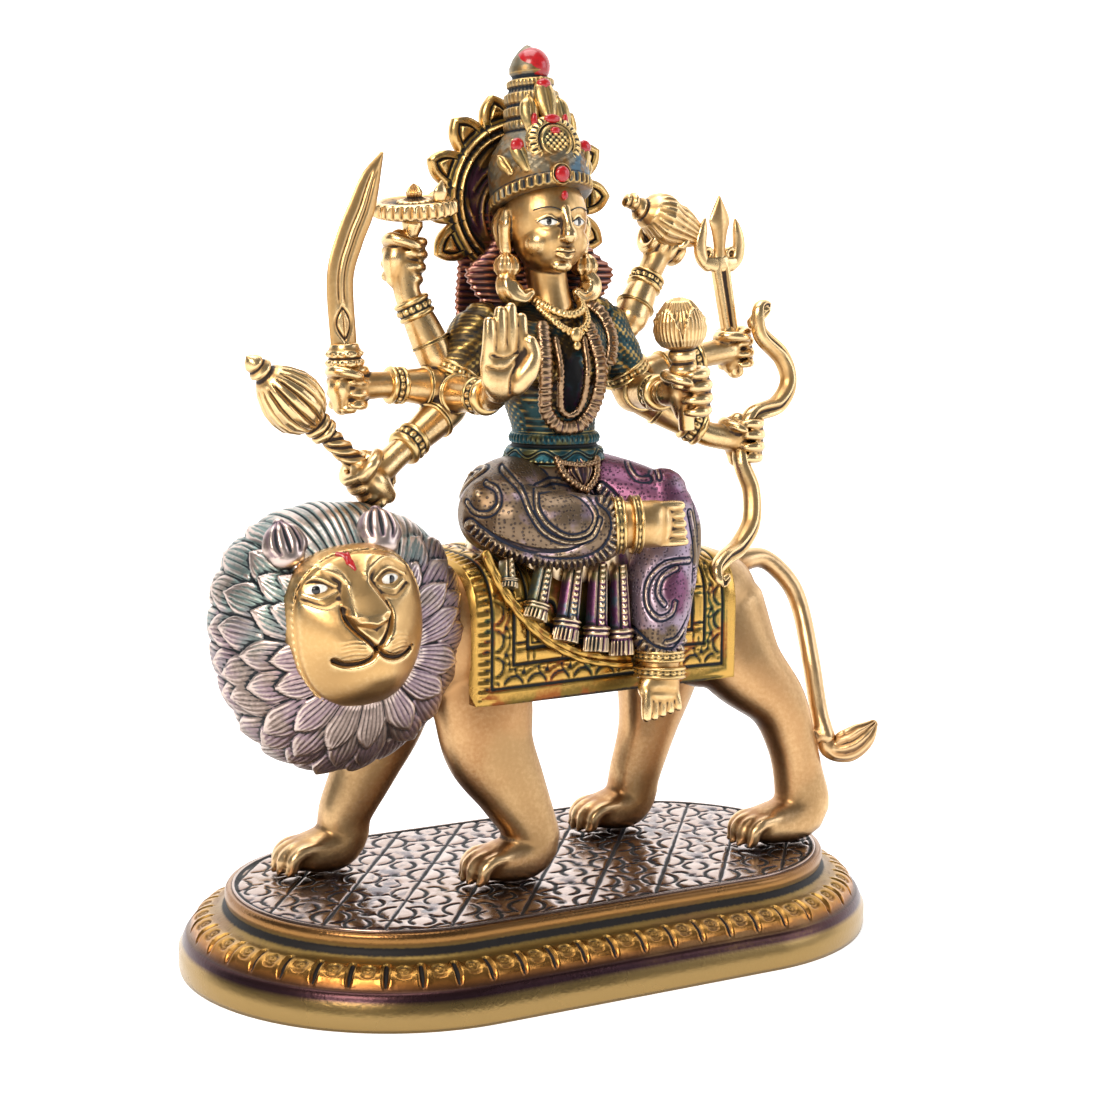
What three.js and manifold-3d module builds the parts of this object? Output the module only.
// A small brass figure of a goddess with eight arms, seated sideways on a walking lion, on an oval plinth.
// Millimetres, +Z up. The origin is the centre of the plinth's underside. The figure looks along -Y and
// the lion walks along -X with its head turned to -Y. Three castings: plinth, lion and goddess.
import * as THREE from "three";
import { mergeVertices } from "three/addons/utils/BufferGeometryUtils.js";
import Module from "manifold-3d";

const wasm = await Module();
wasm.setup();

// Driving dimensions
const PLINTH_LENGTH = 180;
const PLINTH_WIDTH = 104;
const PLINTH_HEIGHT = 19.5;
const PLINTH_WALL = 4;
const RIM_HEIGHT = 6;
const SLAB_INSET = 12.4;
const SLAB_THICKNESS = 5;
const BAND_SLOTS = 56;
const SLOT_WIDTH = 1.2;
const SLOT_DEPTH = 0.9;
const BAND_BULGE = 0.9;
const EDGE_ROUNDING = 0.9;
const LION_HEIGHT = 92;
const CLOTH_THICKNESS = 1.1;
const CLOTH_FRONT = -28;
const CLOTH_REAR = 46;
const CLOTH_DROP = 33;
const FIGURE_HEIGHT = 121;
const SEAT_CLEARANCE = 0.3;
const FOOT_CLEARANCE = 0.3;
const HALO_RADIUS = 26.2;
const HALO_THICKNESS = 3;
const HALO_PETALS = 10;
const CHAKRA_RADIUS = 10.5;

// The poses below are measured on a lion and a figure of these heights.
const LION_POSE_HEIGHT = 92;
const FIGURE_POSE_HEIGHT = 121;
const LION_SCALE = LION_HEIGHT / LION_POSE_HEIGHT;
const FIGURE_SCALE = FIGURE_HEIGHT / FIGURE_POSE_HEIGHT;
const BACK_POSE_HEIGHT = 78;
const SADDLE_HEIGHT = BACK_POSE_HEIGHT * LION_SCALE;

// Edges shorter than this, such as slivers where two forms meet, are merged when solids are joined.
const JOIN_TOLERANCE = 0.2;

const vec = (a) => new THREE.Vector3(a[0], a[1], a[2]);

// A closed three.js geometry as a manifold solid.
function solid(geometry) {
  const bare = geometry.clone();
  bare.deleteAttribute("normal");
  bare.deleteAttribute("uv");
  const g = mergeVertices(bare, 1e-4);
  return new wasm.Manifold(
    new wasm.Mesh({
      numProp: 3,
      vertProperties: new Float32Array(g.attributes.position.array),
      triVerts: new Uint32Array(g.index.array),
      tolerance: JOIN_TOLERANCE,
    }),
  );
}

// Adds up a list of solids.
function fuse(solids) {
  return solids.reduce((sum, one) => sum.add(one));
}

// The outer skin of a solid, without the sealed pockets that stay between overlapping forms.
function skin(body) {
  return body.decompose().sort((a, b) => b.volume() - a.volume())[0];
}

// A named mesh from a manifold solid.
function casting(name, body, colour) {
  const m = body.getMesh();
  const places = new Float32Array(m.numVert * 3);
  for (let i = 0; i < m.numVert; i++)
    places.set(m.vertProperties.subarray(i * m.numProp, i * m.numProp + 3), i * 3);
  const g = new THREE.BufferGeometry();
  g.setAttribute("position", new THREE.BufferAttribute(places, 3));
  g.setIndex(new THREE.BufferAttribute(new Uint32Array(m.triVerts), 1));
  g.computeVertexNormals();
  const brass = new THREE.MeshStandardMaterial({ color: colour, roughness: 0.35, metalness: 0.9 });
  const mesh = new THREE.Mesh(g, brass);
  mesh.name = name;
  return mesh;
}

// A cylinder bent onto stations [x, y, z, half width, half depth]. The half depth lies along `front`.
function limb(stations, sides = 8, front = [0, -1, 0], squareness = 2) {
  const g = new THREE.CylinderGeometry(1, 1, 1, sides, stations.length - 1);
  const p = g.attributes.position;
  const frames = stations.map((s, i) => {
    const before = vec(stations[Math.max(0, i - 1)]);
    const after = vec(stations[Math.min(stations.length - 1, i + 1)]);
    const along = after.sub(before).normalize();
    const depth = vec(front).addScaledVector(along, -vec(front).dot(along)).normalize();
    return { depth, side: new THREE.Vector3().crossVectors(depth, along) };
  });
  for (let i = 0; i < p.count; i++) {
    const ring = Math.round((0.5 - p.getY(i)) * (stations.length - 1));
    const [cx, cy, cz, half, deep = half] = stations[ring];
    const turn = Math.atan2(p.getZ(i), p.getX(i));
    const reach = Math.hypot(p.getX(i), p.getZ(i));
    const round = (c) => Math.sign(c) * Math.abs(c) ** (2 / squareness) * reach;
    const at = new THREE.Vector3(cx, cy, cz)
      .addScaledVector(frames[ring].side, round(Math.cos(turn)) * half)
      .addScaledVector(frames[ring].depth, round(Math.sin(turn)) * deep);
    p.setXYZ(i, at.x, at.y, at.z);
  }
  return solid(g);
}

// The same, with both ends rounded off.
function rounded(stations, sides = 8, front = [0, -1, 0]) {
  const taper = 0.55;
  const tip = (end, next) => {
    const out = vec(end).sub(vec(next)).normalize();
    const at = vec(end).addScaledVector(out, end[3] * taper);
    return [at.x, at.y, at.z, end[3] * taper, (end[4] ?? end[3]) * taper];
  };
  const n = stations.length;
  const ends = [tip(stations[0], stations[1]), tip(stations[n - 1], stations[n - 2])];
  return limb([ends[0], ...stations, ends[1]], sides, front);
}

// An ellipsoid, turned by angles in degrees about X, Y and Z.
function ball(centre, radii, across = 10, up = 7, turn = [0, 0, 0]) {
  const g = new THREE.SphereGeometry(1, across, up).rotateX(Math.PI / 2);
  g.scale(radii[0], radii[1], radii[2]);
  g.rotateX(THREE.MathUtils.degToRad(turn[0]));
  g.rotateY(THREE.MathUtils.degToRad(turn[1]));
  g.rotateZ(THREE.MathUtils.degToRad(turn[2]));
  return solid(g.translate(centre[0], centre[1], centre[2]));
}

// A turned piece from a profile of [radius, height] along the line from `foot` towards `head`.
function turned(profile, foot, head, sides = 12) {
  const g = new THREE.LatheGeometry(profile.map(([r, h]) => new THREE.Vector2(r, h)), sides);
  const along = vec(head).sub(vec(foot)).normalize();
  g.applyQuaternion(new THREE.Quaternion().setFromUnitVectors(new THREE.Vector3(0, 1, 0), along));
  return solid(g.translate(foot[0], foot[1], foot[2]));
}

// A point given by its share along the line from a to b.
function between(a, b, share) {
  return [0, 1, 2].map((i) => a[i] + (b[i] - a[i]) * share);
}

// Makes a thing on both sides of a middle plane.
function both(make) {
  return [-1, 1].map(make);
}

// Plinth

// A point of the oval outline, drawn in from the foot by `inset`: half circles at the ends of a straight run.
function ovalPoint(turn, end, inset) {
  const radius = PLINTH_WIDTH / 2 - inset;
  const run = PLINTH_LENGTH / 2 - PLINTH_WIDTH / 2;
  return [end * run + radius * Math.cos(turn), radius * Math.sin(turn)];
}

// A solid of the oval outline through rows of [inset, height].
function oval(rows, sides = 32) {
  const g = new THREE.CylinderGeometry(1, 1, 1, sides + 2, rows.length - 1, false, Math.PI / 2);
  const p = g.attributes.position;
  const step = (2 * Math.PI) / (sides + 2);
  for (let i = 0; i < p.count; i++) {
    const row = rows.length - 1 - Math.round((0.5 - p.getY(i)) * (rows.length - 1));
    const centre = Math.hypot(p.getX(i), p.getZ(i)) < 0.5;
    const place = Math.round((Math.atan2(-p.getZ(i), p.getX(i)) + 2 * Math.PI) / step) % (sides + 2);
    const left = place > sides / 4 && place < (3 * sides) / 4 + 2;
    const skipped = left ? 1 : place > sides / 4 ? 2 : 0;
    const [x, y] = ovalPoint(((place - skipped) * 2 * Math.PI) / sides, left ? -1 : 1, rows[row][0]);
    p.setXYZ(i, centre ? 0 : x, centre ? 0 : y, rows[row][1]);
  }
  return solid(g);
}

// The places around the oval at an inset, at even spacing: [x, y, outward angle].
function aroundOval(count, inset) {
  const radius = PLINTH_WIDTH / 2 - inset;
  const run = PLINTH_LENGTH - PLINTH_WIDTH;
  const arc = Math.PI * radius;
  const round = 2 * (run + arc);
  return Array.from({ length: count }, (_, i) => {
    const s = ((i + 0.5) * round) / count;
    if (s < run) return [s - run / 2, -radius, -Math.PI / 2];
    if (s < run + arc) {
      const turn = (s - run) / radius - Math.PI / 2;
      return [run / 2 + radius * Math.cos(turn), radius * Math.sin(turn), turn];
    }
    if (s < 2 * run + arc) return [run / 2 - (s - run - arc), radius, Math.PI / 2];
    const turn = (s - 2 * run - arc) / radius + Math.PI / 2;
    return [-run / 2 + radius * Math.cos(turn), radius * Math.sin(turn), turn];
  });
}

// The sloping slotted band: rows of [inset, height].
const BAND_LOW = [2.4, RIM_HEIGHT + 2.2];
const BAND_HIGH = [SLAB_INSET - 4, PLINTH_HEIGHT - SLAB_THICKNESS - 1];
const BAND_MIDDLE = [
  (BAND_LOW[0] + BAND_HIGH[0]) / 2 - BAND_BULGE, (BAND_LOW[1] + BAND_HIGH[1]) / 2 + BAND_BULGE,
];

// A three-sided cutter that leaves a V-shaped slot up the band at [x, y, outward angle].
function bandSlot([x, y, out]) {
  const lean = Math.atan2(BAND_HIGH[0] - BAND_LOW[0], BAND_HIGH[1] - BAND_LOW[1]);
  const length = 1.1 * (BAND_HIGH[1] - BAND_LOW[1]);
  const slot = new THREE.CylinderGeometry(SLOT_DEPTH, SLOT_DEPTH, length, 3).rotateX(Math.PI / 2);
  slot.rotateZ(-Math.PI / 2).scale(1, SLOT_WIDTH / SLOT_DEPTH, 1);
  return solid(slot.rotateY(-lean).rotateZ(out).translate(x, y, BAND_MIDDLE[1]));
}

function makePlinth() {
  const slabFoot = PLINTH_HEIGHT - SLAB_THICKNESS;
  const body = oval([
    [0, 0],
    [0, RIM_HEIGHT],
    [EDGE_ROUNDING, RIM_HEIGHT + EDGE_ROUNDING],
    BAND_LOW,
    BAND_MIDDLE,
    BAND_HIGH,
    [SLAB_INSET - 1.2, slabFoot],
    [SLAB_INSET - EDGE_ROUNDING, PLINTH_HEIGHT - EDGE_ROUNDING],
    [SLAB_INSET, PLINTH_HEIGHT],
  ]);
  const hollow = oval([
    [PLINTH_WALL, -RIM_HEIGHT],
    [PLINTH_WALL, RIM_HEIGHT],
    [SLAB_INSET + PLINTH_WALL, PLINTH_HEIGHT - PLINTH_WALL],
  ], 20);
  const slots = aroundOval(BAND_SLOTS, BAND_MIDDLE[0]).map(bandSlot);
  return body.subtract(hollow).subtract(fuse(slots));
}

// Lion, posed on the plane z = 0 with its back at BACK_POSE_HEIGHT

const BARREL = [
  [-46, 0, 58, 12, 12],
  [-36, 0, 58.5, 17, 16.5],
  [-22, 0, 59.5, 19, 18.5],
  [-5, 0, 60, 18.5, 18],
  [15, 0, 60.5, 17.5, 17.5],
  [35, 0, 60, 17, 16.5],
  [50, 0, 58.5, 17, 16.5],
  [61, 0, 57, 14.5, 15],
  [67, 0, 56, 9, 10],
];

function barrel() {
  return limb(BARREL, 12, [0, 0, 1], 2.5);
}

// The barrel grown by the cloth's thickness and a little more, fuller at the sides as the cloth hangs.
function saddle(more) {
  const hang = 1.8;
  const grow = CLOTH_THICKNESS + more;
  const grown = BARREL.map(([x, y, z, w, d]) => [x, y, z, w + hang + grow, d + grow]);
  return limb(grown, 16, [0, 0, 1], 3.4);
}

// The saddle cloth between its front, rear and lower edges.
function saddleCloth() {
  const low = BACK_POSE_HEIGHT - CLOTH_DROP;
  const tall = 2 * CLOTH_DROP;
  const broad = BACK_POSE_HEIGHT;
  const keep = new THREE.BoxGeometry(CLOTH_REAR - CLOTH_FRONT, broad, tall);
  keep.translate((CLOTH_FRONT + CLOTH_REAR) / 2, 0, low + tall / 2);
  return saddle(0).intersect(solid(keep));
}

// A leg and its paw: stations [x, y, z, half length, half width] down to the ankle, then on to four toes.
function leg(stations) {
  const [x, y] = stations[stations.length - 1];
  const foot = [[x - 1.5, y, 5.8, 6.6, 5.4], [x - 7, y, 4, 4.4, 5.8], [x - 11.5, y, 3, 3, 5.2]];
  const toes = [-4, -1.35, 1.35, 4].map((aside) => {
    const ahead = Math.abs(aside) < 2 ? 13.6 : 12.4;
    return ball([x - ahead, y + aside, 2.7], [3.8, 1.7, 2.7], 5, 3);
  });
  const below = 20;
  const sole = solid(new THREE.BoxGeometry(3 * below, 2 * below, below).translate(x, y, -below / 2));
  const heel = [x + 1.6, y, 8.5, 6, 5.2];
  return fuse([limb([...stations.slice(0, -1), heel, ...foot], 7), ...toes]).subtract(sole);
}

function lionLegs() {
  const nearFront = [
    [-23, -8, 58, 14, 9], [-20, -11, 44, 11.8, 7.4], [-15.5, -12.5, 30, 9, 6.2],
    [-10.5, -13, 16, 6.8, 5.4], [-10, -13],
  ];
  const farFront = [
    [-34, 8, 55, 12, 9], [-35, 12, 38, 10.5, 7], [-39, 14, 25, 8.4, 6], [-45, 15, 14, 6.8, 5.4],
    [-48, 15.5],
  ];
  const nearHind = [
    [52, -7, 58, 16.5, 10], [55, -11, 44, 14, 8.6], [62, -14, 30, 9.4, 6.4], [70, -15, 17, 7, 5.4],
    [67, -15.5],
  ];
  const farHind = [
    [44, 8, 58, 15, 9], [43, 12, 40, 11.6, 7.6], [41, 14, 26, 8.4, 6], [39.5, 15, 14, 7, 5.4],
    [36, 15.5],
  ];
  return fuse([nearFront, farFront, nearHind, farHind].map(leg));
}

function lionTail() {
  const bend = [
    [62, 0, 68, 3.8], [69, 0, 69.8, 3.5], [73.6, -3, 63, 3.2], [75.6, -7, 52, 3], [76.4, -11, 42, 2.8],
    [76.6, -14, 32, 2.7], [77, -16.5, 26, 2.6],
  ];
  const tuft = [
    [76.6, -16, 28, 2.6], [78.8, -17.5, 22.6, 3, 2.4], [82.6, -19.5, 24, 4.2, 2.4],
    [86, -21.5, 27, 3.6, 2.2], [88.9, -22.5, 30, 1, 1],
  ];
  return fuse([limb(bend, 7), limb(tuft, 6)]);
}

const MANE_CENTRE = [-58.8, -7, 62];
const MANE_RADII = [27.6, 23, 29.6];
const FACE_MIDDLE = -61.5;

// The mane's surface in a direction from its centre: a full round form that narrows towards the chin.
function maneSurface(unit, lift = 1) {
  const fullness = 2.15;
  const sum = unit.reduce((total, u, i) => total + Math.abs(u / MANE_RADII[i]) ** fullness, 0);
  const reach = lift * sum ** (-1 / fullness);
  const narrowing = 1 + 0.1 * unit[2];
  return [
    MANE_CENTRE[0] + reach * unit[0] * narrowing, MANE_CENTRE[1] + reach * unit[1],
    MANE_CENTRE[2] + reach * unit[2],
  ];
}

// The mane: rings of pointed locks that overlap like shingles, their tips away from the face (the -Y side).
// Each ring rises to a zigzag row of tips and then steps down to the next.
const LOCKS = 16;
const LOCK_RINGS = [36, 57, 79, 103];
const LOCK_POINT = 7;
const LOCK_LIFT = 1.05;
const LOCK_ROOT = 0.955;
const LOCK_NOTCH = 0.97;

function maneRows() {
  const rows = [{ polar: 20, lift: LOCK_ROOT, point: 0 }];
  for (let ring = 0; ring < LOCK_RINGS.length - 1; ring++) {
    const swing = ring % 2 ? -1 : 1;
    const last = ring ? -swing : 0;
    rows.push({ polar: LOCK_RINGS[ring], lift: LOCK_ROOT, point: last });
    rows.push({ polar: (LOCK_RINGS[ring] + LOCK_RINGS[ring + 1]) / 2 + 3, lift: 1.02, point: swing * 0.4 });
    rows.push({ polar: LOCK_RINGS[ring + 1] - 1.5, lift: LOCK_LIFT, point: swing });
  }
  return [
    ...rows, { polar: 108, lift: 1, point: 0 }, { polar: 130, lift: 1, point: 0 },
    { polar: 155, lift: 1, point: 0 },
  ];
}

function mane() {
  const rows = maneRows();
  const form = new THREE.SphereGeometry(1, 2 * LOCKS, rows.length + 1);
  const p = form.attributes.position;
  for (let i = 0; i < p.count; i++) {
    const down = Math.acos(THREE.MathUtils.clamp(p.getY(i), -1, 1)) / Math.PI;
    const row = Math.round(down * (rows.length + 1)) - 1;
    const step = Math.round((Math.atan2(-p.getZ(i), p.getX(i)) / Math.PI) * LOCKS);
    const { polar, lift, point } = rows[row] ?? { polar: row < 0 ? 0 : 180, lift: 1, point: 0 };
    const away = THREE.MathUtils.degToRad(polar + (step % 2 ? 1 : -1) * point * LOCK_POINT);
    const turn = (step * Math.PI) / LOCKS;
    const unit = [Math.sin(away) * Math.cos(turn), -Math.cos(away), Math.sin(away) * Math.sin(turn)];
    const inNotch = Math.abs(point) === 1 && step % 2 === (point > 0 ? 0 : 1);
    const raised = inNotch ? LOCK_NOTCH : 1;
    p.setXYZ(i, ...maneSurface(unit, lift * raised));
  }
  return solid(form);
}

function lionFace() {
  const x = FACE_MIDDLE;
  return fuse([
    ball([x, -19, 66.5], [17.6, 14, 19.6], 12, 8),
    limb([[x, -29, 80, 4, 3], [x, -35, 73, 3.8, 3.2], [x, -34, 69.5, 3.6, 2.6]], 6),
    ball([x, -36, 71.6], [4.4, 2.4, 3], 6, 5),
    ball([x, -30.5, 56.5], [7.6, 4, 5], 7, 4),
    ...both((s) => ball([x + s * 4.8, -32, 64.8], [5.8, 4.4, 5], 7, 4)),
    ...both((s) => ball([x + s * 8.2, -30.5, 77.5], [3.4, 2, 1.9], 6, 4)),
    ...both((s) => limb(
      [[x + s * 3.8, -32, 80, 1.1], [x + s * 8.5, -31, 82.5, 1.3], [x + s * 13, -27, 80, 1]], 5,
    )),
    ...both((s) => ball([x + s * 13.4, -13, 89.5], [5, 2.8, 6.4], 6, 4, [0, s * 22, 0])),
  ]);
}

// Puts a form of the lion at its size and on the plinth.
function onPlinth(form) {
  return form.scale([LION_SCALE, LION_SCALE, LION_SCALE]).translate([0, 0, PLINTH_HEIGHT + FOOT_CLEARANCE]);
}

function makeLion() {
  const whole = fuse([barrel(), saddleCloth(), lionLegs(), lionTail(), mane(), lionFace()]);
  return onPlinth(skin(whole));
}

// Goddess, posed with the saddle at z = 0

const MIDDLE = 4.5;

function torso() {
  const x = MIDDLE;
  const hips = [[x, 3, 3, 20, 16], [x, 3, 12.6, 17.2, 13.6]];
  const belts = [
    [x, 3, 13.4, 18.6, 15], [x, 3, 18, 16.6, 13.6], [x, 3, 18.6, 14.2, 12.2],
    [x, 3, 22, 12.8, 10.8], [x, 3, 22.8, 14, 11.8], [x, 3, 25.4, 13.6, 11.4],
  ];
  const trunk = [
    [x, 3, 26, 12.4, 10.4], [x, 3, 35, 13.2, 10.5], [x, 3, 44, 15.2, 11.2],
    [x, 4, 51, 16.5, 10], [x, 4, 56, 13, 8.5], [x, 3, 60, 6.2, 6], [x, 1, 69, 5.2, 5.6],
  ];
  const bust = both((s) => ball([x + s * 6.3, -5, 44.5], [5.8, 5.4, 5.6], 8, 5));
  return fuse([limb([...hips, ...belts, ...trunk], 10), ...bust]);
}

// A string of ornament along a curve through the points.
function garland(points, radius, steps) {
  const curve = new THREE.CatmullRomCurve3(points.map(vec));
  const stations = curve.getPoints(steps).map((p) => [p.x, p.y, p.z, radius]);
  return limb(stations, 4, [0, -1, 0.2]);
}

function garlands() {
  const x = MIDDLE;
  const long = [
    [x - 8, -2, 58], [x - 8.5, -9, 50], [x - 8, -10.5, 40], [x - 5.5, -9.5, 30], [x, -9.3, 27.5],
    [x + 5.5, -9.5, 30], [x + 8, -10.5, 40], [x + 8.5, -9, 50], [x + 8, -2, 58],
  ];
  const short = [
    [x - 6.5, -1, 60], [x - 4.5, -7, 55], [x, -8.6, 52.6], [x + 4.5, -7, 55], [x + 6.5, -1, 60],
  ];
  return fuse([garland(long, 1.5, 14), garland(short, 1.3, 7)]);
}

function head() {
  const x = MIDDLE;
  return fuse([
    ball([x, 0.5, 77.5], [9.4, 10.4, 12.2], 10, 6),
    ball([x, -4, 70], [5.6, 5, 4.8], 7, 4),
    limb([[x, -9.5, 80, 1, 1], [x, -11.4, 74.6, 1.8, 1.4], [x, -9.6, 73, 1.6, 1]], 5),
    ball([x, -9.2, 70.4], [2.6, 1.6, 1.2], 6, 4),
    ...both((s) => ball([x + s * 4, -8.4, 78.6], [2.4, 1.4, 1], 6, 4)),
    ...both((s) => limb(
      [
        [x + s * 9.6, 0, 80, 1.4, 2.4], [x + s * 10.4, 0, 74, 1.8, 2.6],
        [x + s * 10.4, -1, 68, 3, 3.2], [x + s * 10, -2, 64.5, 2.2], [x + s * 11.6, -2, 60, 3],
        [x + s * 9.8, -4, 56.5, 1.6],
      ],
      5,
    )),
  ]);
}

// The tall crown, leaning back and to one side a little: turned tiers with an oval ornament in front.
const CROWN_FOOT = [MIDDLE - 0.6, 1.5, 80];
const CROWN_TIP = [MIDDLE - 3.6, 9, FIGURE_POSE_HEIGHT];

// A point in the crown, given by its height above the brow and its place beside and in front of the axis.
function inCrown(height, beside, ahead) {
  const lean = between(CROWN_FOOT, CROWN_TIP, height / (CROWN_TIP[2] - CROWN_FOOT[2]));
  return [lean[0] + beside, lean[1] - ahead, lean[2]];
}

function crown() {
  const tiers = [[0, 0], [12.6, 0], [13.6, 6], [13.2, 11], [9.4, 20], [7.6, 24], [8.4, 25.2], [7, 27],
    [7.8, 28.6], [6.4, 30], [6.6, 31.2], [4.8, 32.2], [5.4, 34], [3.8, 38.6], [0, 41.7]];
  return fuse([
    turned(tiers, CROWN_FOOT, CROWN_TIP, 10),
    ball(inCrown(11, 0, 12), [6.2, 3.2, 7.6], 8, 5, [-14, 0, 0]),
    ball(inCrown(4.4, 0, 14.4), [2.2, 1.6, 2.2], 6, 4),
    ...both((s) => ball(inCrown(9, s * 10.4, 9), [3, 2.4, 3.6], 6, 4)),
    ...[-1, 0, 1].map((s) => ball(
      inCrown(21.5, s * 5.4, 8.6 - 1.6 * Math.abs(s)), [2, 2, 4], 5, 4, [-14, 0, 0],
    )),
  ]);
}

// The halo: a plate with pointed petals round it and a raised ring, and the hair that falls behind.
const HALO_CENTRE = [MIDDLE - 1.5, 17, 83.8];
const HALO_TILT = -4;
const PETAL_STEP = 26;

function halo() {
  const outline = [];
  for (let i = 0; i < HALO_PETALS; i++) {
    const turn = (i - (HALO_PETALS - 1) / 2) * PETAL_STEP + HALO_TILT;
    for (const [reach, aside] of [[0.74, -1], [0.9, -0.6], [1, 0], [0.9, 0.6], [0.74, 1]]) {
      const angle = THREE.MathUtils.degToRad(turn + (aside * PETAL_STEP) / 2);
      outline.push(new THREE.Vector2(Math.sin(angle), Math.cos(angle)).multiplyScalar(reach * HALO_RADIUS));
    }
  }
  for (const [x, z] of [[17, -28], [13, -36], [-13, -36], [-17, -28]]) outline.push(new THREE.Vector2(x, z));
  const flat = new THREE.ExtrudeGeometry(
    new THREE.Shape(outline), { depth: HALO_THICKNESS, bevelEnabled: false },
  );
  flat.rotateX(Math.PI / 2).translate(
    HALO_CENTRE[0], HALO_CENTRE[1] + HALO_THICKNESS / 2, HALO_CENTRE[2],
  );
  const ring = new THREE.TorusGeometry(0.7 * HALO_RADIUS, 1.2, 4, 15).rotateX(Math.PI / 2);
  ring.translate(HALO_CENTRE[0], HALO_CENTRE[1] - HALO_THICKNESS / 2, HALO_CENTRE[2]);
  const hair = both((s) => rounded(
    [
      [MIDDLE + s * 10, 8, 74, 4, 3], [MIDDLE + s * 14, 7, 66, 5, 3.4],
      [MIDDLE + s * 13, 6, 58, 4.6, 3.6],
    ],
    5,
  ));
  const nape = limb([[MIDDLE, 10, 88, 10, 8], [MIDDLE, 10, 70, 9, 7], [MIDDLE, 9, 54, 12, 7]], 7);
  return fuse([solid(flat), solid(ring), ...hair, nape]);
}

// A closed fist round a bar through `at` that runs along `bar`: four finger rolls side by side and a thumb.
// The back of the hand faces `back`.
function fist(at, bar, back, size) {
  const along = vec(bar).normalize();
  const out = vec(back).addScaledVector(along, -vec(back).dot(along)).normalize();
  const side = new THREE.Vector3().crossVectors(along, out);
  const place = (a, o, s) => {
    const point = vec(at).addScaledVector(along, a * size).addScaledVector(out, o * size);
    return point.addScaledVector(side, s * size).toArray();
  };
  const rolls = [
    [-1.2, 0.8], [-1, 1.04], [-0.68, 0.84], [-0.35, 1.1], [0, 0.86], [0.35, 1.1], [0.7, 0.84],
    [1, 1.04], [1.2, 0.8],
  ];
  const palm = limb(
    rolls.map(([a, r]) => [...place(a, 0, 0), size * r * 1.16, size * r * 1.04]), 5, out.toArray(),
  );
  const thumb = limb(
    [
      [...place(1.0, 0.3, 1.0), size * 0.4], [...place(0.9, -0.9, 0.9), size * 0.42],
      [...place(0.7, -1.3, 0), size * 0.25],
    ],
    4, out.toArray(),
  );
  return palm.add(thumb);
}

// A forearm from the elbow to the wrist and into the hand, with a raised band of bangles.
function forearm(elbow, wrist, hand) {
  const thick = 4.4;
  const thin = 3.3;
  const band = thin * 1.36;
  const at = (share, radius) => [...between(elbow, wrist, share), radius];
  const arm = [at(0, thick), at(0.64, thin * 1.16), at(0.66, band), at(0.88, band), at(0.9, thin)];
  return limb([at(-0.12, thick * 0.7), ...arm, [...between(wrist, hand, 0.8), thin]], 6);
}

const ELBOW = { right: [-23, 4, 38], left: [30, 4, 37] };
const HAND = {
  blessing: [-20.3, -23, 45],
  mace: [-46.5, -4, 19.5],
  sword: [-49, 4, 40],
  chakra: [-31.6, 10, 69.5],
  lotus: [28.5, -22, 38.5],
  bow: [57.4, -4, 24.4],
  trident: [60, 4, 47],
  conch: [42, 10, 74.5],
};

function upperArms() {
  const shoulders = [[[-14, 5, 53], ELBOW.right], [[20, 5, 54], ELBOW.left]];
  return fuse(shoulders.map(([top, elbow]) => {
    const at = (share, radius) => [...between(top, elbow, share), radius];
    return rounded([at(0, 6.4), at(0.45, 6.3), at(0.74, 5.8), at(0.76, 5), at(1, 5.2)], 8);
  }));
}

function forearms() {
  const right = ELBOW.right;
  const left = ELBOW.left;
  const reach = {
    blessing: [right, [-22, -17, 38.5]],
    mace: [[-23, 3, 34.5], [-39, -2, 24.6]],
    sword: [[-25, 4, 39.5], [-40, 4, 40.4]],
    chakra: [[-24.5, 6, 46], [-31, 9, 61.5]],
    lotus: [left, [26, -15.5, 38]],
    bow: [[31.5, 3, 35.5], [47.5, -3, 26.2]],
    trident: [[34, 4, 41], [50.5, 4, 45.6]],
    conch: [[29.5, 6, 55], [37.4, 9.3, 66.6]],
  };
  return fuse(Object.entries(reach).map(([name, [elbow, wrist]]) => forearm(elbow, wrist, HAND[name])));
}

// The open right hand raised in blessing, palm to the front.
function blessingHand() {
  const [x, y, z] = HAND.blessing;
  const lengths = [12.4, 15.2, 16, 13.4];
  const fingers = lengths.map((length, i) =>
    limb(
      [
        [x - 3.4 + 2.7 * i, y - 0.3, z + 2, 1.4, 1.5],
        [x - 3.4 + 2.7 * i, y - 0.6, z + length - 2, 1.3, 1.3],
        [x - 3.4 + 2.7 * i, y - 0.6, z + length, 0.6],
      ],
      5,
    ),
  );
  return fuse([
    limb(
      [[x + 0.6, y, z - 8, 3.4, 2.4], [x + 0.6, y, z - 4, 5.2, 2.8], [x + 0.4, y, z + 3, 5.6, 2.2]], 8,
    ),
    ...fingers,
    limb(
      [[x + 4.5, y - 1.5, z - 6, 2.2], [x + 8, y - 2.5, z + 1, 1.8], [x + 7.6, y - 2, z + 6.5, 0.9]],
      5,
    ),
  ]);
}

function mace() {
  const hand = HAND.mace;
  const end = [-79.5, -6, 49];
  const club = [
    [0, 0], [2.4, 0], [2.7, 21], [3.6, 22], [3.6, 24], [2.8, 25], [6.2, 27.4], [8.7, 32], [8.5, 37],
    [5.8, 41.4], [3.6, 43.4], [2.2, 45.4], [2.6, 47], [0, 49.4],
  ];
  const shaft = vec(end).sub(vec(hand)).toArray();
  return turned(club, between(hand, end, -0.12), end, 8).add(fist(hand, shaft, [-0.4, 0.2, -1], 4.6));
}

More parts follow.
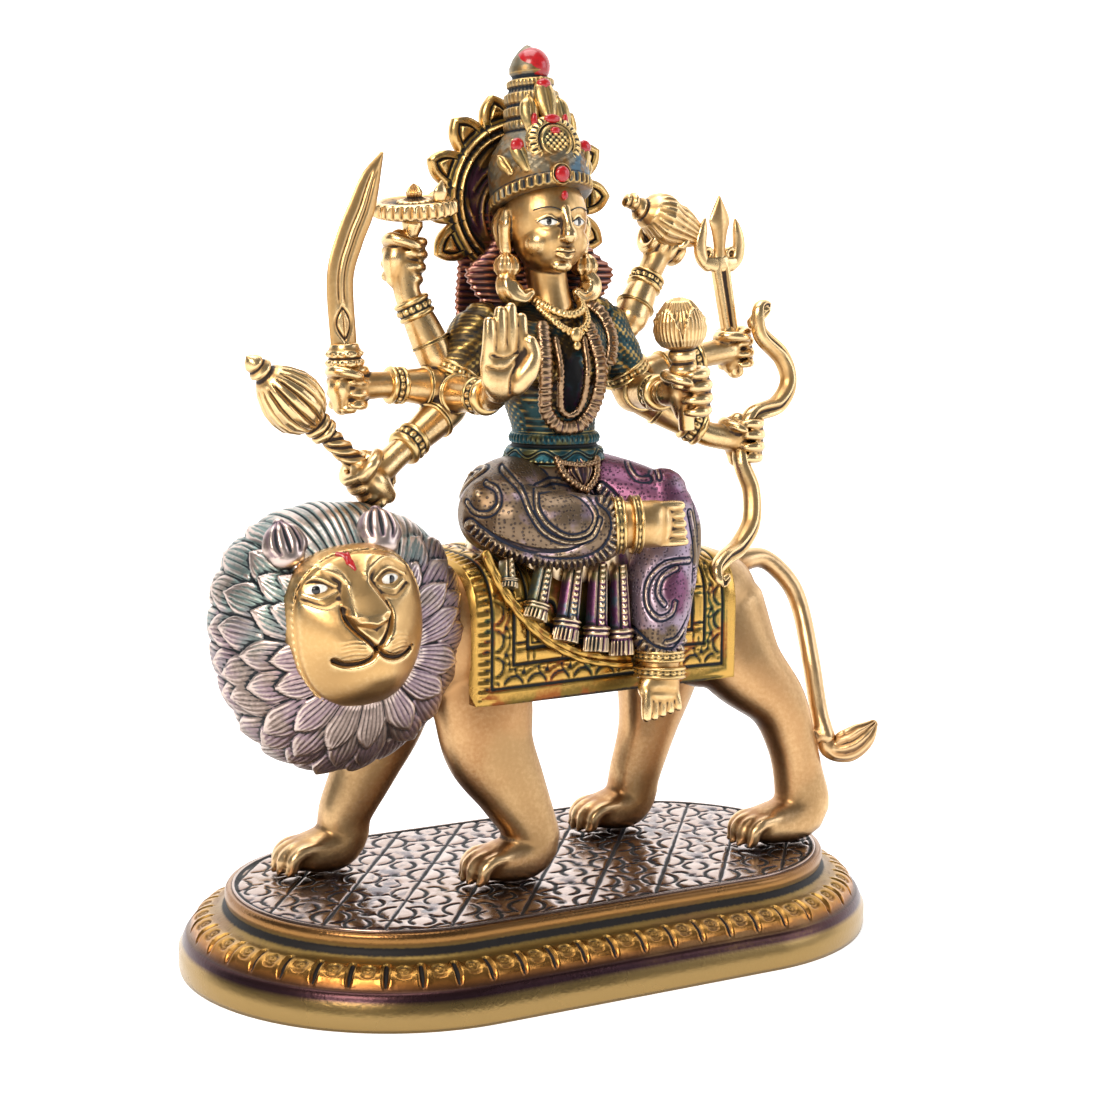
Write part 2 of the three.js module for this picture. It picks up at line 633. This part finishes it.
function sword() {
  const hand = HAND.sword;
  const blade = new THREE.Shape();
  const path = [
    [-3.4, 8], [-3.6, 24], [-2.4, 38], [1.4, 47.5], [9.2, 54.5], [7.6, 46], [4.4, 37], [3.4, 24],
    [3.4, 8],
  ];
  blade.setFromPoints(path.map(([x, z]) => new THREE.Vector2(x, z)));
  const flat = new THREE.ExtrudeGeometry(blade, { depth: 2.2, bevelEnabled: false }).rotateX(Math.PI / 2);
  flat.translate(hand[0], hand[1] + 1.1, hand[2]);
  const hilt = turned(
    [[0, 0], [2.2, 0], [2.4, 10], [4.6, 11], [4.8, 13.6], [3.8, 16], [0, 16]],
    [hand[0], hand[1], hand[2] - 6], [hand[0], hand[1], hand[2] + 10], 8,
  );
  return fuse([solid(flat), hilt, fist(hand, [0, 0, 1], [0, 1, 0], 4)]);
}

function chakra() {
  const at = [-28.5, 10, 81.5];
  const wheel = [
    [0, -2], [CHAKRA_RADIUS - 2, -2.4], [CHAKRA_RADIUS, -1.6], [CHAKRA_RADIUS, 1.6],
    [CHAKRA_RADIUS - 2, 2.2], [4, 1.8], [1.6, 2.6], [0, 5],
  ];
  const stem = limb([[-30, 10, 72, 2.4], [-29, 10, 79.5, 3.2]], 6);
  return fuse([
    turned(wheel, at, [at[0] - 1.2, at[1] - 1, at[2] + 10], 12), stem,
    fist(HAND.chakra, [0.1, 0, 1], [0, 1, 0], 4.4),
  ]);
}

function lotus() {
  const at = HAND.lotus;
  const bud = [
    [0, 0], [1.9, 0], [2, 10], [3.4, 11], [2.6, 14], [3.6, 15.5], [3.2, 17], [5.6, 20], [6.8, 25],
    [6.4, 29], [4, 32.4], [0, 31.4],
  ];
  return turned(
    bud, [at[0], at[1], at[2] - 9], [at[0] - 3.2, at[1], at[2] + 22], 8,
  ).add(fist(at, [-0.1, 0, 1], [1, 1, 0], 4.6));
}

function trident() {
  const at = HAND.trident;
  const foot = [at[0] + 0.6, at[1], at[2] - 6];
  const fork = [at[0] - 4.6, at[1] + 1, 69.5];
  const above = (aside, up, ...size) => [fork[0] + aside, fork[1], fork[2] + up, ...size];
  const prong = (s) => {
    const bend = [
      above(0, -2, 1.4), above(s * 3.6, -1.4, 1.6), above(s * 5.8, 3, 1.5), above(s * 5, 9.5, 0.9),
    ];
    return limb(bend, 4);
  };
  const shaft = [[...foot, 2, 1.6], [...fork, 2.3, 1.6]];
  const point = [above(0, 7, 2.2, 1.5), above(-0.2, 11, 3, 1.5), above(-0.4, 15.5, 0.4, 0.5)];
  return fuse([
    limb([...shaft, ...point], 6),
    ...both(prong),
    fist(at, [-0.15, 0, 1], [0, 1, 0], 4),
  ]);
}

function conch() {
  const shell = [
    [0, 0], [1.6, 0.4], [2.2, 2.4], [1.7, 3.2], [3, 5], [2.5, 6], [4.6, 8], [6.2, 12], [5.6, 17],
    [3.4, 22], [1.6, 25], [0, 25.4],
  ];
  const hand = fist(HAND.conch, [0.85, 0, -0.35], [0, 1, -0.2], 4.2);
  return turned(shell, [28.5, 8, 84.5], [51, 8, 75], 8).add(hand);
}

function bow() {
  const upper = [
    [62.5, 0, 53.5], [66.5, 0, 58], [64, -1, 57.5], [64.5, -1, 52], [71, -2, 45],
    [72.5, -3, 38.5], [68, -4, 33], [60, -4.5, 31],
  ];
  const lower = [
    [57.4, -4, 25], [56, -6, 19], [57.8, -8, 12], [56.6, -10, 4], [51.5, -12, -1.5],
    [45.5, -15, -3.5], [41.6, -17, -6], [42, -18, -9], [44, -18, -8],
  ];
  const curve = new THREE.CatmullRomCurve3([...upper, ...lower].map(vec));
  const stations = curve.getPoints(20).map((p) => [p.x, p.y, p.z, 2.4, 2]);
  return limb(stations, 4, [0.7, -0.7, 0.1]).add(fist(HAND.bow, [0, 0, 1], [0.7, 0.7, 0], 4.4));
}

function legs() {
  return fuse([
    rounded([[-1, 4, 9.5, 11.5, 10], [-11, -5, 10, 11, 9.5], [-17.6, -12, 10, 9.6, 9.2]], 8, [0, 0, 1]),
    rounded(
      [
        [-16.4, -15.5, 9.4, 8.8, 8.8], [-6, -21, 7.4, 8.6, 9], [4, -25, 7, 7.6, 8.4],
        [11, -27.5, 8, 5.8, 6.6],
      ],
      8, [0, 0, 1],
    ),
    rounded(
      [[10, -28, 8.6, 5.4, 6], [18, -30.5, 9.6, 4.6, 5], [22.5, -31, 10, 3.4, 4.6]], 7, [0, 0, 1],
    ),
    rounded([[12, 2, 11.6, 11, 10], [22, -7, 11.4, 10.4, 9], [28, -14, 9.8, 9, 8.6]], 8, [0, 0, 1]),
    limb(
      [
        [30, -16.5, 14, 6, 6], [30.6, -17.5, 6, 9, 8.4], [28.6, -21, -4, 9.4, 8],
        [26, -24.5, -13, 9, 7.2], [22.5, -26.5, -21, 6.8, 6], [21, -27, -24.5, 7, 6],
      ],
      10,
    ),
    limb(
      [
        [21, -27, -22, 5, 4.8], [19.5, -27.5, -29, 5.6, 5], [18.6, -29, -36, 5.4, 4],
        [18, -30, -40, 5.6, 2.6], [18, -30, -41.5, 4.6, 1.8],
      ],
      8,
    ),
  ]);
}

// The pleated end of the skirt, a fan of flutes that spreads down over the saddle cloth.
function pleats() {
  const flutes = [
    [-22, -20, -12], [-17, -22.5, -19], [-10.5, -24, -24], [-3.5, -25, -28], [4, -25.5, -29.5],
    [10.5, -25.5, -29],
  ].map(([x, y, z], i) => {
    const top = [-6 + i * 3.4, -22, 2];
    return limb(
      [[...top, 3.2, 3.4], [...between(top, [x, y, z], 0.55), 3.4, 3.2], [x, y, z, 3.9, 3]], 6,
    );
  });
  return fuse(flutes);
}

function seat() {
  return limb([[MIDDLE, -2, -6, 24, 19], [MIDDLE, -2, 0, 27, 21], [MIDDLE, -1, 4, 24, 18]], 12);
}

function makeGoddess() {
  const body = fuse([torso(), garlands(), head(), crown(), halo(), upperArms(), forearms()]);
  const held = fuse([blessingHand(), mace(), sword(), chakra(), lotus(), trident(), conch(), bow()]);
  const whole = fuse([body, held, legs(), pleats(), seat()]);
  const seated = whole.scale([FIGURE_SCALE, FIGURE_SCALE, FIGURE_SCALE]);
  const placed = seated.translate([0, 0, PLINTH_HEIGHT + FOOT_CLEARANCE + SADDLE_HEIGHT]);
  return skin(placed.subtract(onPlinth(saddle(SEAT_CLEARANCE))));
}

const group = new THREE.Group();
group.add(casting("plinth", makePlinth(), 0x6b4a2a));
group.add(casting("lion", makeLion(), 0xb08a4a));
group.add(casting("goddess", makeGoddess(), 0xb8924c));

export default group;
